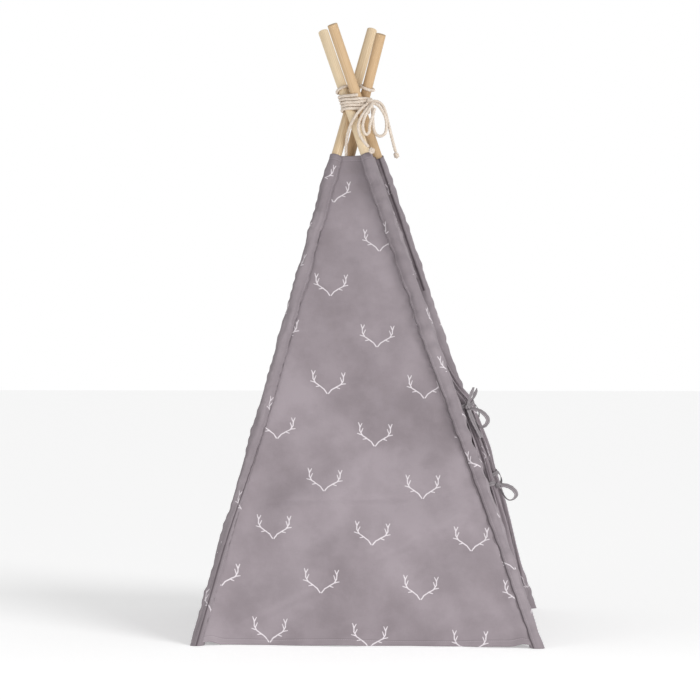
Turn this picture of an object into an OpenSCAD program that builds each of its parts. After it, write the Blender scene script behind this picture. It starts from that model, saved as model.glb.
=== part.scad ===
// Play teepee: four dowel poles lashed near the top, a sewn cover of pole pockets
// and panels between them, and two door flaps tied back with ribbons.
// The door is on the -Y side. The floor is z = 0, and its middle is the origin.

/* [Frame] */
// Distance between neighbouring pole feet, centre to centre
foot_span = 780; // [700:5:900]
// Height at which the poles pass each other under the lashing
cross_h = 1275; // [1100:5:1450]
// How far the crossing stands behind the middle of the floor
cross_back = 48; // [0:1:80]
// Diameter of a pole
pole_d = 25; // [20:0.5:28]
// Length of each front pole
front_pole_len = 1620; // [1580:5:1750]
// Length of the back left pole
back_left_len = 1598; // [1560:5:1750]
// Length of the back right pole
back_right_len = 1568; // [1560:1:1750]
// Sideways distance from the crossing's middle to each pole, per millimetre of pole diameter
pass_ratio = 0.81; // [0.8:0.005:0.9]

/* [Lashing] */
// Diameter of the cotton rope
rope_d = 8; // [6:0.5:9]
// Number of turns round the bundle of poles
turns = 5; // [3:1:6]
// Height of the lowest turn, measured from the crossing
turns_from = -6; // [-15:1:0]
// Free room between the turns and the poles
turn_room = 0.8; // [0.5:0.1:3]
// Height above the crossing of the hitch on the front left pole
hitch_front_h = 46; // [44:1:60]
// Height above the crossing of the hitch on the back right pole
hitch_back_h = 50; // [44:1:60]

/* [Cover] */
// Drop from the crossing to the cover's top edge
cover_drop = 120; // [95:5:225]
// Height of the side panels' lower edges
hem_h = 2; // [1:0.5:10]
// Thickness of a panel
panel_t = 2; // [1:0.5:3]
// Radius of a pole pocket along most of its length
sleeve_r = 19; // [17:0.5:20]
// Radius of a pole pocket at its top
sleeve_top_r = 15.5; // [14.5:0.5:17]
// Length over which a pocket narrows to its top
sleeve_taper = 240; // [150:10:400]
// Room between a pole and its pocket
pocket_room = 0.4; // [0.3:0.1:0.8]
// Thickness of the cloth under a pole's foot
foot_cloth = 1.5; // [1:0.5:3]
// Gap left between cloth pieces
cloth_gap = 0.6; // [0.4:0.1:2]

/* [Door] */
// Height at which the front panel parts into the two flaps
door_top = 860; // [700:5:950]
// Height of the upper tie on each flap
upper_tie_h = 543; // [480:1:600]
// Height of the lower tie on each flap
lower_tie_h = 363; // [320:1:420]
// Width of a ribbon
ribbon_w = 11; // [8:1:14]
// Thickness of a ribbon
ribbon_t = 1.5; // [1:0.5:2]
// Radius of a gathered flap where a tie holds it
pinch_r = 12; // [10:0.5:14]
// Turn of a flap from straight across the doorway to the front, between its ties
flap_turn = 40; // [25:1:50]

/* [Hidden] */

$fn = 48;
big = 4000;

// Poles and corners are numbered front left, front right, back left, back right.
fl = 0;
fr = 1;
bl = 2;
br = 3;
half_span = foot_span / 2;
feet = [[-half_span, -half_span, 0], [half_span, -half_span, 0],
        [-half_span, half_span, 0], [half_span, half_span, 0]];
pole_lens = [front_pole_len, front_pole_len, back_left_len, back_right_len];
cross_mid = [0, cross_back, cross_h];
cover_top = cross_h - cover_drop;
pass_offset = pass_ratio * pole_d;
// Side of a pocket on which its lengthwise seam lies
seam_turn = 100;

function unit(v) = v / norm(v);
function flat_dir(i) = unit([feet[i].x, feet[i].y - cross_back, 0]);
function waist(i) = cross_mid + pass_offset * [flat_dir(i).y, -flat_dir(i).x, 0];
function along(i) = unit(waist(i) - feet[i]);
function pole_at(i, z) = feet[i] + (waist(i) - feet[i]) * z / cross_h;
function pole_s(i, z) = z / along(i).z;

pine = [0.89, 0.76, 0.56];
rope_white = [0.86, 0.79, 0.70];
cloth = [0.57, 0.53, 0.55];
cloth_dark = [0.50, 0.46, 0.48];
ribbon_grey = [0.53, 0.50, 0.51];

// Rope knot, ends and bow loops on the left side of the lashing, measured from the crossing
knot_at = [-32, -38, 11];
knot_r = 9.5;
tail_knot_r = 7.5;
tail_cover_pts = [[-38, -32, 7], [-47, -18, -5], [-50, -4, -23], [-47, 8, -43],
                  [-41, 16, -65], [-33.5, 20, -85], [-28, 21.2, -103], [-26, 20.7, -122.5]];
tail_near_pts = [[-40, -41, 5], [-52, -30, -9], [-60, -18, -27], [-64, -11, -48],
                 [-66, -14, -69], [-68, -24, -87], [-71, -36, -101]];
tail_near_knot_at = [-73, -44, -111];
loop_near_pts = [[-42, -45, 9], [-52, -39, -5], [-60, -28, -24], [-64, -22, -45],
                 [-64, -24, -62], [-62, -30, -70], [-60, -37, -64], [-57, -39, -45],
                 [-52, -45, -25], [-43, -50, -5]];
loop_far_pts = [[-33, -43, 3], [-31, -44, -17], [-29, -45, -37], [-27, -47, -55],
                [-26, -54, -68], [-26, -65, -71], [-27, -75, -63], [-28, -78, -43],
                [-29, -74, -21], [-31, -61, 0], [-32, -47, 10]];
tail_far_pts = [[-28, -46, 15], [-24, -58, 13], [-21, -69, 3], [-20, -76, -15],
                [-20, -81, -35], [-20, -86, -55], [-20, -91, -75], [-20, -96, -95],
                [-20, -100, -109]];
tail_far_knot_at = [-20, -102, -118];

// Ribbon knots measured from the middles of their bands, and the ribbons' points from the knots
tie_knot_r = 7;
tie_from_band = [[-17.26, -10.83, -0.07], [19.87, -6.05, 0.81],
                 [-8.33, -19.09, -0.07], [19.68, -6.12, 0.81]];
tie_knots = [for (k = [0 : 3])
    tie_from_band[k] + flap_mid(k % 2 == 0 ? fl : fr, k < 2 ? upper_tie_h : lower_tie_h,
                                pinch_r, flap_turn)];
upper_loop_pts = [[-1, -7, -2], [-3, -22, -4], [-5, -38, -13], [-6, -48, -28],
                  [-5, -41, -42], [-3, -28, -44], [-3, -19, -32], [0, -5, -9]];
lower_loop_pts = [[-1, -7, 1], [-3, -21, -1], [-5, -34, -8], [-6, -42, -20],
                  [-5, -36, -31], [-3, -25, -34], [-2, -15, -26], [0, -5, -9]];
left_tail_pts = [[-9, -3, -5], [-12, -10, -24], [-14, -18, -42], [-16, -26, -58], [-18, -33, -70]];
right_tail_pts = [[-4, -9, -5], [4, -12, -24], [13, -18, -42], [20, -24, -58], [25, -29, -70]];
upper_end_h = 50;
upper_end_lean = 15;

// A gathered flap from the floor up: height, radius, and turn towards the front
tie_half = 12;
flap_rows = [[26, 19, -20], [60, 23, -15], [180, 20, 0], [235, 17, 12], [290, 13.5, 30],
             [lower_tie_h - tie_half, pinch_r, flap_turn],
             [lower_tie_h + tie_half, pinch_r, flap_turn],
             [420, 15.5, flap_turn], [470, 14.5, flap_turn],
             [upper_tie_h - tie_half, pinch_r, flap_turn],
             [upper_tie_h + tie_half, pinch_r, flap_turn],
             [585, 10.5, 15], [640, 10, -5], [700, 10, -15], [780, 9, -20],
             [door_top - 15, 6, -20]];

// ---------- swept tubes ----------

// Unit direction of a route at point i
function heading(p, i) = unit(p[min(i + 1, len(p) - 1)] - p[max(i - 1, 0)]);
// Ring of points round a route's point
function ring(p, i, r, sides, ref) =
    let (t = heading(p, i), a = unit(cross(t, ref)), b = cross(t, a))
    [for (k = [0 : sides - 1]) p[i] + r * (cos(360 * k / sides) * a + sin(360 * k / sides) * b)];

// Closed tube along a route, with a radius for each point
module tube(p, rs, sides = 8, ref = [1, 0, 0]) {
    n = len(p);
    pts = [for (i = [0 : n - 1]) each ring(p, i, rs[i], sides, ref)];
    sides_f = [for (i = [0 : n - 2], k = [0 : sides - 1])
        [i * sides + k, i * sides + (k + 1) % sides,
         (i + 1) * sides + (k + 1) % sides, (i + 1) * sides + k]];
    caps = [[for (k = [sides - 1 : -1 : 0]) k], [for (k = [0 : sides - 1]) (n - 1) * sides + k]];
    polyhedron(pts, concat(sides_f, caps), convexity = 6);
}

module cord(p, d, ref = [1, 0, 0]) {
    tube(p, [for (q = p) d / 2], ref = ref);
}

// ---------- frame ----------

// Puts children on a pole: local z runs up the pole from its foot
module on_pole(i) {
    a = along(i);
    translate(feet[i]) rotate([0, acos(a.z), atan2(a.y, a.x)]) children();
}

// Where a pole's square-cut foot starts, so that its lowest edge stands on the cloth
function foot_s(i) =
    let (c = along(i).z)
    (foot_cloth + pole_d / 2 * sqrt(1 - c * c)) / c;

module pole(i) {
    color(pine) on_pole(i) translate([0, 0, foot_s(i)])
        cylinder(d = pole_d, h = pole_lens[i] - foot_s(i));
}

// Pocket sewn round a pole, narrower at its top and closed under the pole's foot
module pocket(i) {
    top_s = pole_s(i, cover_top);
    bore_r = pole_d / 2 + pocket_room;
    color(cloth_dark) intersection() {
        on_pole(i) rotate([0, 0, seam_turn]) rotate_extrude()
            polygon([[0, -pole_d], [sleeve_r, -pole_d], [sleeve_r, top_s - sleeve_taper],
                     [sleeve_top_r, top_s], [bore_r, top_s], [bore_r, foot_s(i) - pocket_room],
                     [0, foot_s(i) - pocket_room]]);
        translate([-big / 2, -big / 2, 0]) cube(big);
    }
}

// ---------- cover ----------

// Pocket radius at a height
function pocket_r(i, z) =
    let (down = pole_s(i, cover_top) - pole_s(i, z))
    min(sleeve_r, sleeve_top_r + (sleeve_r - sleeve_top_r) * down / sleeve_taper);

// Point on a panel's edge at a height: beside pole i's pocket, towards pole j
function edge_at(i, j, z) =
    let (a = pole_at(i, z), b = pole_at(j, z), to = unit(b - a),
         off = (pocket_r(i, z) + cloth_gap) / norm(cross(along(i), to)))
    a + off * to;

// Panel between poles i and j from height z0 to z1, with its outward side facing out
module panel(i, j, z0, z1, out) {
    steps = [z0, min(z1 - 1, max(z0 + 1, cover_top - sleeve_taper)), z1];
    rows = [for (z = steps) [edge_at(i, j, z), edge_at(j, i, z)]];
    n = unit(cross(rows[2][0] - rows[0][0], rows[0][1] - rows[0][0]));
    side = n * out > 0 ? n : -n;
    o = side * panel_t / 2;
    pts = [for (row = rows) each [row[0] + o, row[1] + o, row[1] - o, row[0] - o]];
    flip = cross(rows[0][1] - rows[0][0], rows[2][0] - rows[0][0]) * side > 0;
    walls = [for (k = [0 : 1], m = [0 : 3])
        let (a = 4 * k + m, b = 4 * k + (m + 1) % 4)
        each [[a, b, b + 4], [a, b + 4, a + 4]]];
    ends = [[0, 3, 2], [0, 2, 1], [8, 9, 10], [8, 10, 11]];
    faces = concat(walls, ends);
    color(cloth) polyhedron(pts, flip ? faces : [for (f = faces) [f[0], f[2], f[1]]], convexity = 2);
}

// ---------- door ----------

// Direction from a front pole to the middle of its gathered flap
function flap_dir(i, turn) =
    let (s = i == fl ? 1 : -1, v = [s * cos(turn), -sin(turn), 0], a = along(i))
    unit(v - (v * a) * a);
function flap_mid(i, z, r, turn) =
    pole_at(i, z) + flap_dir(i, turn) * (sleeve_r + r + ribbon_t + 1.5 * cloth_gap);

module flap(i) {
    color(cloth) tube([for (q = flap_rows) flap_mid(i, q[0], q[1], q[2])],
                      [for (q = flap_rows) q[1]], 16, [0, 1, 0]);
}

// Ribbon band round the flap's pinched part
module tie_band(i, z) {
    a = along(i);
    color(ribbon_grey) translate(flap_mid(i, z, pinch_r, flap_turn))
        rotate([0, acos(a.z), atan2(a.y, a.x)]) difference() {
            cylinder(r = pinch_r + cloth_gap / 2 + ribbon_t, h = ribbon_w, center = true);
            cylinder(r = pinch_r + cloth_gap / 2, h = ribbon_w + 2, center = true);
        }
}

// Knot of a ribbon bow; an upper one has a short end standing up from it
module tie_knot(k, upright) {
    color(ribbon_grey) translate(tie_knots[k]) rotate([0, tie_knots[k].x < 0 ? 0 : 45, 0]) {
        sphere(r = tie_knot_r);
        if (upright)
            rotate([upper_end_lean, 0, 0]) translate([-ribbon_t / 2, -ribbon_w / 2, 0])
                cube([ribbon_t, ribbon_w, upper_end_h]);
    }
}

// Loop points mirrored for the right side and swung outwards
function swung(pts) = [for (q = pts) [-q.x - q.y, 0.4 * q.y, q.z]];
// Ribbon from a knot
module ribbon(k, pts) {
    color(ribbon_grey)
        cord([for (q = pts) tie_knots[k] + q], 8, tie_knots[k].x < 0 ? [1, 0, 0] : [0.37, 0.93, 0]);
}

// ---------- lashing ----------

// Free part of the rope, placed from the crossing
module rope_part(pts, ref = [1, 0, 0]) {
    color(rope_white) translate(cross_mid) cord(pts, rope_d, ref);
}

// Radius of the circle that clears all four poles at a height from the crossing
function bundle_r(dz) =
    let (c = along(fl).z, spread = abs(dz) * sqrt(1 - c * c) / c)
    sqrt(pow(pass_offset, 2) + pow(spread, 2)) + pole_d / 2 / c;

module lashing_turns() {
    color(rope_white) for (k = [0 : turns - 1]) {
        dz = turns_from + k * rope_d * 0.98;
        reach = max(abs(dz - rope_d / 2), abs(dz + rope_d / 2));
        translate(cross_mid + [0, 0, dz]) rotate_extrude()
            translate([bundle_r(reach) + turn_room + rope_d / 2, 0]) circle(d = rope_d, $fn = 24);
    }
}

module lashing_knot() {
    color(rope_white) translate(cross_mid + knot_at) sphere(r = knot_r);
}

// Half hitch round one pole just above the turns
module hitch(i, dz) {
    color(rope_white) on_pole(i) translate([0, 0, pole_s(i, cross_h + dz)])
        rotate_extrude() translate([pole_d / 2 + pocket_room + rope_d / 2, 0]) circle(d = rope_d, $fn = 24);
}

module tail_knot(p) {
    color(rope_white) translate(cross_mid + p) sphere(r = tail_knot_r);
}

pole(fl);  // pole_front_left
pole(fr);  // pole_front_right
pole(bl);  // pole_back_left
pole(br);  // pole_back_right
pocket(fl);  // pocket_front_left
pocket(fr);  // pocket_front_right
pocket(bl);  // pocket_back_left
pocket(br);  // pocket_back_right
panel(bl, fl, hem_h, cover_top, [-1, 0, 0]);  // panel_left
panel(fr, br, hem_h, cover_top, [1, 0, 0]);  // panel_right
panel(br, bl, hem_h, cover_top, [0, 1, 0]);  // panel_back
panel(fl, fr, door_top, cover_top, [0, -1, 0]);  // panel_front_top
flap(fl);  // flap_left
flap(fr);  // flap_right
lashing_turns();
lashing_knot();
hitch(fl, hitch_front_h);  // hitch_front_left
hitch(br, hitch_back_h);  // hitch_back_right
rope_part(tail_cover_pts);  // rope_tail_cover
rope_part(tail_near_pts);  // rope_tail_near
rope_part(tail_far_pts);  // rope_tail_far
rope_part(loop_near_pts, [-0.75, -0.5, 0.4]);  // rope_loop_near
rope_part(loop_far_pts);  // rope_loop_far
tail_knot(tail_near_knot_at);  // tail_knot_near
tail_knot(tail_far_knot_at);  // tail_knot_far
tie_band(fl, upper_tie_h);  // tie_band_upper_left
tie_band(fl, lower_tie_h);  // tie_band_lower_left
tie_band(fr, upper_tie_h);  // tie_band_upper_right
tie_band(fr, lower_tie_h);  // tie_band_lower_right
tie_knot(0, true);  // tie_knot_upper_left
tie_knot(1, true);  // tie_knot_upper_right
tie_knot(2, false);  // tie_knot_lower_left
tie_knot(3, false);  // tie_knot_lower_right
ribbon(0, upper_loop_pts);  // ribbon_loop_upper_left
ribbon(1, swung(upper_loop_pts));  // ribbon_loop_upper_right
ribbon(2, lower_loop_pts);  // ribbon_loop_lower_left
ribbon(3, swung(lower_loop_pts));  // ribbon_loop_lower_right
ribbon(0, left_tail_pts);  // ribbon_tail_upper_left
ribbon(1, right_tail_pts);  // ribbon_tail_upper_right
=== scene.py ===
import math

import bmesh
import bpy
import numpy as np
from mathutils import Matrix, Vector


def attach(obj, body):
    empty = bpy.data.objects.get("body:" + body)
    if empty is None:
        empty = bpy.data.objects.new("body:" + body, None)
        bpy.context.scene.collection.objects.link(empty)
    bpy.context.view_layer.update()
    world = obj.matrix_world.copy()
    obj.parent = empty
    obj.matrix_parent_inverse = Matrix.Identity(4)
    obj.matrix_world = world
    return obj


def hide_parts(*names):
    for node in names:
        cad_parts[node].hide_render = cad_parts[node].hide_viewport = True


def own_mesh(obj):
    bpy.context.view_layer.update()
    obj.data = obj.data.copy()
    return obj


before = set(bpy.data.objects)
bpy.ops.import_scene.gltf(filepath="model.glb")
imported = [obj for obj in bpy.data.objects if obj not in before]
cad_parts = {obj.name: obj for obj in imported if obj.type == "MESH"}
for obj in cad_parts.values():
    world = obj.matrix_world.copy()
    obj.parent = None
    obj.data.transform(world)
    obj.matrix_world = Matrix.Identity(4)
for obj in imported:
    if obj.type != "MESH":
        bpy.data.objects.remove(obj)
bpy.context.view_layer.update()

# Sizes shared by the pieces, in metres, as in the part's source
half = 0.39
crossH = 1.275
crossBack = 0.048
poleR = 0.0125
passOff = 0.02025
coverTop = 1.155
hemH = 0.002
sleeveR = 0.019
sleeveTopR = 0.0155
sleeveTaper = 0.24
doorTop = 0.86
tieHeights = (0.543, 0.363)  # upper and lower
pinchR = 0.012
ribbonW = 0.0105
ropeD = 0.008
looseD = ropeD * 0.94  # rope off the turns, a little slacker
clothThick = 0.0008
stitchWave = 0.019  # spacing of the puckers along a seam
poleNames = ["front_left", "front_right", "back_left", "back_right"]
feet = np.array([[-half, -half, 0], [half, -half, 0], [-half, half, 0], [half, half, 0]])
poleLens = [1.62, 1.62, 1.598, 1.568]
crossMid = np.array([0, crossBack, crossH])


def unit(v):
    v = np.asarray(v, float)
    return v / np.linalg.norm(v)


def smoothStep(a, b, x):
    t = np.clip((np.asarray(x, float) - a) / (b - a), 0, 1)
    return t * t * (3 - 2 * t)


flatDirs = [unit([f[0], f[1] - crossBack, 0]) for f in feet]
waists = np.array([crossMid + passOff * np.array([d[1], -d[0], 0]) for d in flatDirs])
axes = np.array([unit(w - f) for w, f in zip(waists, feet)])


def poleAt(i, z):
    z = np.asarray(z, float)[..., None]
    return feet[i] + (waists[i] - feet[i]) * z / crossH


def sleeveRadius(i, s):
    down = coverTop / axes[i][2] - s
    return np.minimum(sleeveR, sleeveTopR + (sleeveR - sleeveTopR) * down / sleeveTaper)


# A sum of a few long waves, from about -1 to 1, over points of any number of axes
def ripple(p, seed, wavelength, count=7):
    rng = np.random.default_rng(seed)
    p = np.asarray(p, float)
    out = np.zeros(p.shape[:-1])
    for _ in range(count):
        d = rng.normal(size=p.shape[-1])
        d /= np.linalg.norm(d)
        k = 2 * math.pi / (wavelength * rng.uniform(0.7, 1.6))
        out += np.sin(p @ d * k + rng.uniform(0, 6.28))
    return out / math.sqrt(count) / 1.3


camData = bpy.data.cameras.new("camera")
camData.lens = 113.87
camData.sensor_width = 36
camData.clip_end = 60
camera = bpy.data.objects.new("camera", camData)
bpy.context.scene.collection.objects.link(camera)
tip = math.radians(0.052)
look = Vector((0.99817 * math.cos(tip), 0.06039 * math.cos(tip), -math.sin(tip)))
camera.rotation_mode = "QUATERNION"
camera.location = (-5.4534, -0.2686, 0.6841)
camera.rotation_quaternion = look.to_track_quat("-Z", "Y")
bpy.context.scene.camera = camera
bpy.context.scene.view_settings.view_transform = "Standard"
print("stage: camera")


# A node with its settings and inputs; an input that is a socket is linked
def addNode(tree, kind, settings=None, **inputs):
    n = tree.nodes.new(kind)
    for k, v in (settings or {}).items():
        setattr(n, k, v)
    for k, v in inputs.items():
        socket = n.inputs[int(k[1:])] if k[0] == "i" and k[1:].isdigit() else n.inputs[k]
        if isinstance(v, bpy.types.NodeSocket):
            tree.links.new(v, socket)
        else:
            socket.default_value = v
    return n


def mathNode(tree, op, a, b=0.0, c=0.0, clamp=False):
    return addNode(tree, "ShaderNodeMath", {"operation": op, "use_clamp": clamp},
                   i0=a, i1=b, i2=c).outputs[0]


def vecNode(tree, op, a, b=(0, 0, 0), scale=None, out=0):
    n = addNode(tree, "ShaderNodeVectorMath", {"operation": op}, i0=a, i1=b)
    if scale is not None:
        if isinstance(scale, bpy.types.NodeSocket):
            tree.links.new(scale, n.inputs["Scale"])
        else:
            n.inputs["Scale"].default_value = scale
    return n.outputs[out]


# Smooth step of a value from low to high, giving outLow to outHigh
def ramp(tree, value, low, high, outLow=0.0, outHigh=1.0):
    return addNode(tree, "ShaderNodeMapRange", {"interpolation_type": "SMOOTHSTEP"},
                   i0=value, i1=low, i2=high, i3=outLow, i4=outHigh).outputs[0]


def noiseNode(tree, vector, scale, detail=3.0, rough=0.55):
    return addNode(tree, "ShaderNodeTexNoise", None, Vector=vector, Scale=scale, Detail=detail,
                   Roughness=rough).outputs[0]


def mixColor(tree, factor, a, b, mode="MIX"):
    return addNode(tree, "ShaderNodeMix", {"data_type": "RGBA", "blend_type": mode},
                   i0=factor, i6=a, i7=b).outputs[2]


def newGroup(name, inputs, outputs):
    g = bpy.data.node_groups.new(name, "ShaderNodeTree")
    for n, kind in inputs:
        g.interface.new_socket(name=n, in_out="INPUT", socket_type="NodeSocket" + kind)
    for n, kind in outputs:
        g.interface.new_socket(name=n, in_out="OUTPUT", socket_type="NodeSocket" + kind)
    return g, g.nodes.new("NodeGroupInput").outputs, g.nodes.new("NodeGroupOutput").inputs


# Distance from a point to a stroke, growing a little towards the stroke's end
strokeGroup, gin, gout = newGroup("strokeDistance", [("Point", "Vector"), ("From", "Vector"),
    ("To", "Vector"), ("Taper", "Float")], [("Distance", "Float")])
pa = vecNode(strokeGroup, "SUBTRACT", gin["Point"], gin["From"])
ba = vecNode(strokeGroup, "SUBTRACT", gin["To"], gin["From"])
share = mathNode(strokeGroup, "DIVIDE", vecNode(strokeGroup, "DOT_PRODUCT", pa, ba, out=1),
                 vecNode(strokeGroup, "DOT_PRODUCT", ba, ba, out=1), clamp=True)
near = vecNode(strokeGroup, "SUBTRACT", pa, vecNode(strokeGroup, "SCALE", ba, scale=share))
strokeGroup.links.new(mathNode(strokeGroup, "MULTIPLY_ADD", share, gin["Taper"],
                      vecNode(strokeGroup, "LENGTH", near, out=1)), gout["Distance"])

# Printed antlers on a half-drop repeat, in metres of cloth; strokes are for the right half
printStrokes = [((1.8, 0), (8.5, 9.5), 0), ((8.5, 9.5), (19, 17), 0), ((19, 17), (30, 24), 0.1),
    ((30, 24), (36, 34), 0.2), ((36, 34), (36.5, 45), 0.3), ((36.5, 45), (40, 54), 0.5),
    ((19, 17), (28, 14.5), 0.5), ((31, 25), (41.5, 27.5), 0.5), ((33.5, 30), (29, 41), 0.5),
    ((36.4, 43), (31.5, 53), 0.5)]
printGroup, gin, gout = newGroup("antlerPrint", [("Vector", "Vector")], [("Mask", "Float")])
turned = addNode(printGroup, "ShaderNodeMapping", {"vector_type": "POINT"}, Vector=gin["Vector"],
                 Rotation=(0, 0, math.radians(3.3))).outputs[0]
printCell = (0.2302, 0.2412)  # width and height of a repeat
printFoot = 0.39  # share of a repeat that lies below a motif's origin
spots = []
for shift in (0.0, 0.5):
    q = vecNode(printGroup, "DIVIDE", turned, (*printCell, 1))
    q = vecNode(printGroup, "ADD", q, (shift + 0.5, shift + printFoot, 0))
    q = vecNode(printGroup, "FRACTION", q)
    q = vecNode(printGroup, "SUBTRACT", q, (0.5, printFoot, 0))
    spots.append(vecNode(printGroup, "MULTIPLY", q, (*printCell, 0)))
fromMotif = [vecNode(printGroup, "LENGTH", vecNode(printGroup, "SUBTRACT", spot, (0, 0.027, 0)),
                     out=1) for spot in spots]
pick = mathNode(printGroup, "LESS_THAN", *fromMotif)
local = addNode(printGroup, "ShaderNodeMix", {"data_type": "VECTOR"}, i0=pick, i4=spots[1],
                i5=spots[0]).outputs[1]
wobble = addNode(printGroup, "ShaderNodeTexNoise", None, Vector=gin["Vector"], Scale=160.0,
                 Detail=2.0).outputs[1]
wobble = vecNode(printGroup, "SUBTRACT", wobble, (0.5, 0.5, 0.5))
local = vecNode(printGroup, "ADD", local, vecNode(printGroup, "SCALE", wobble, scale=0.0016))
apart = addNode(printGroup, "ShaderNodeSeparateXYZ", None, Vector=local).outputs
local = addNode(printGroup, "ShaderNodeCombineXYZ", None, X=mathNode(printGroup, "ABSOLUTE",
                apart[0]), Y=apart[1], Z=0.0).outputs[0]
closest = None
for a, b, taper in printStrokes:
    d = addNode(printGroup, "ShaderNodeGroup", {"node_tree": strokeGroup}, Point=local,
                From=(a[0] / 1000, a[1] / 1000, 0), To=(b[0] / 1000, b[1] / 1000, 0),
                Taper=taper / 1000).outputs[0]
    closest = d if closest is None else mathNode(printGroup, "MINIMUM", closest, d)
printMask = ramp(printGroup, closest, 0.0008, 0.0019, 1.0, 0.0)
wear = ramp(printGroup, noiseNode(printGroup, gin["Vector"], 900.0), 0.25, 0.6, 0.72, 1.0)
printGroup.links.new(mathNode(printGroup, "MULTIPLY", printMask, wear), gout["Mask"])

# Cloth: colour from thread streaks, soft blotches and stitches, with painted shade along the seams and
# the hem fold; height for the bump
clothGroup, gin, gout = newGroup("clothLook", [("Vector", "Vector"), ("Edge", "Float"),
    ("Hem", "Float"), ("Base", "Color"), ("Dark", "Color"), ("Print", "Float"),
    ("Wrinkle", "Float")],
    [("Color", "Color"), ("Normal", "Vector"), ("Roughness", "Float")])
uv = gin["Vector"]
warp = noiseNode(clothGroup, vecNode(clothGroup, "MULTIPLY", uv, (1500, 45, 1)), 1.0, 2.0)
weft = noiseNode(clothGroup, vecNode(clothGroup, "MULTIPLY", uv, (45, 1500, 1)), 1.0, 2.0)
threads = mathNode(clothGroup, "ADD", warp, weft)
blotch = noiseNode(clothGroup, uv, 3.2, 4.0, 0.5)
haze = noiseNode(clothGroup, uv, 14.0, 4.0, 0.6)
tone = mathNode(clothGroup, "MULTIPLY_ADD", ramp(clothGroup, blotch, 0.36, 0.64), 0.6,
                mathNode(clothGroup, "MULTIPLY", ramp(clothGroup, haze, 0.34, 0.66), 0.3))
tone = mathNode(clothGroup, "MULTIPLY_ADD", threads, 0.2, tone)
plain = mixColor(clothGroup, tone, gin["Dark"], gin["Base"])
printed = mathNode(clothGroup, "MULTIPLY", gin["Print"], addNode(clothGroup, "ShaderNodeGroup",
                   {"node_tree": printGroup}, Vector=uv).outputs[0])
inked = mixColor(clothGroup, printed, plain, (0.72, 0.67, 0.70, 1))
parts = addNode(clothGroup, "ShaderNodeSeparateXYZ", None, Vector=uv).outputs


# Dashes of thread along a line at a distance from an edge
def stitches(tree, distance, at, along, pitch):
    line = ramp(tree, mathNode(tree, "ABSOLUTE", mathNode(tree, "SUBTRACT", distance, at)),
                0.0003, 0.0007, 1.0, 0.0)
    dash = mathNode(tree, "PINGPONG", along, pitch)
    return mathNode(tree, "MULTIPLY", line, ramp(tree, dash, pitch * 0.2, pitch * 0.36))


hemStitch = stitches(clothGroup, gin["Hem"], 0.013, parts[0], 0.0022)
seamStitch = stitches(clothGroup, gin["Edge"], 0.0085, parts[1], 0.0022)
thread = mathNode(clothGroup, "MAXIMUM", hemStitch, seamStitch)
sewn = mixColor(clothGroup, mathNode(clothGroup, "MULTIPLY", thread, 0.5), inked,
                (0.42, 0.37, 0.40, 1))
# Painted shade along the seams: a sharp dark line where the pocket's lip lies over the wall, and a
# soft wider darkening beside it
crease = mathNode(clothGroup, "MAXIMUM", ramp(clothGroup, gin["Edge"], 0.0014, 0.0046, 0.92, 0.0),
                  ramp(clothGroup, gin["Edge"], 0.0, 0.022, 0.22, 0.0))
# Painted shade: a thin dark line along the edge of the folded hem
hemFoldShade = ramp(clothGroup, mathNode(clothGroup, "ABSOLUTE", mathNode(clothGroup, "SUBTRACT",
               gin["Hem"], 0.0152)), 0.0002, 0.0014, 0.22, 0.0)
shade = mathNode(clothGroup, "MAXIMUM", crease, hemFoldShade)
shaded = mixColor(clothGroup, shade, sewn, (0.085, 0.068, 0.076, 1))
clothGroup.links.new(shaded, gout["Color"])
pull = noiseNode(clothGroup, vecNode(clothGroup, "MULTIPLY", uv, (18, 26, 1)), 1.0, 3.0)
height = mathNode(clothGroup, "MULTIPLY_ADD", pull, 0.0022,
                  mathNode(clothGroup, "MULTIPLY", threads, 0.00012))
height = mathNode(clothGroup, "MULTIPLY_ADD", thread, 0.0004, height)
small = noiseNode(clothGroup, vecNode(clothGroup, "MULTIPLY", uv, (60, 85, 1)), 1.0, 2.5)
height = mathNode(clothGroup, "MULTIPLY_ADD", small, gin["Wrinkle"], height)
bump = addNode(clothGroup, "ShaderNodeBump", None, Strength=0.55, Distance=1.0, Height=height)
clothGroup.links.new(bump.outputs[0], gout["Normal"])
clothGroup.links.new(ramp(clothGroup, threads, 0.6, 1.4, 0.98, 0.86), gout["Roughness"])

# Pine: long grain lines round an off-centre pith, in the pole's own metres with z along it
pineGroup, gin, gout = newGroup("pineLook", [("Vector", "Vector"), ("Tone", "Float")],
    [("Color", "Color"), ("Normal", "Vector"), ("Roughness", "Float")])
bent = noiseNode(pineGroup, vecNode(pineGroup, "MULTIPLY", gin["Vector"], (60, 60, 2.2)), 1.0, 2.0)
offset = vecNode(pineGroup, "ADD", gin["Vector"], (0.021, 0.009, 0))
ringAt = vecNode(pineGroup, "LENGTH", vecNode(pineGroup, "MULTIPLY", offset, (1, 1, 0)), out=1)
ringAt = mathNode(pineGroup, "MULTIPLY_ADD", bent, 0.0055, ringAt)
rings = mathNode(pineGroup, "FRACT", mathNode(pineGroup, "DIVIDE", ringAt, 0.0021))
late = mathNode(pineGroup, "MULTIPLY", ramp(pineGroup, rings, 0.35, 0.88),
                ramp(pineGroup, rings, 0.9, 1.0, 1.0, 0.0))
fibre = noiseNode(pineGroup, vecNode(pineGroup, "MULTIPLY", gin["Vector"], (900, 900, 14)), 1.0, 3.0)
patch = noiseNode(pineGroup, vecNode(pineGroup, "MULTIPLY", gin["Vector"], (9, 9, 5)), 1.0, 3.0)
pale = mixColor(pineGroup, gin["Tone"], (0.60, 0.415, 0.245, 1), (0.88, 0.73, 0.52, 1))
warm = mixColor(pineGroup, gin["Tone"], (0.50, 0.33, 0.165, 1), (0.70, 0.53, 0.32, 1))
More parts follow.
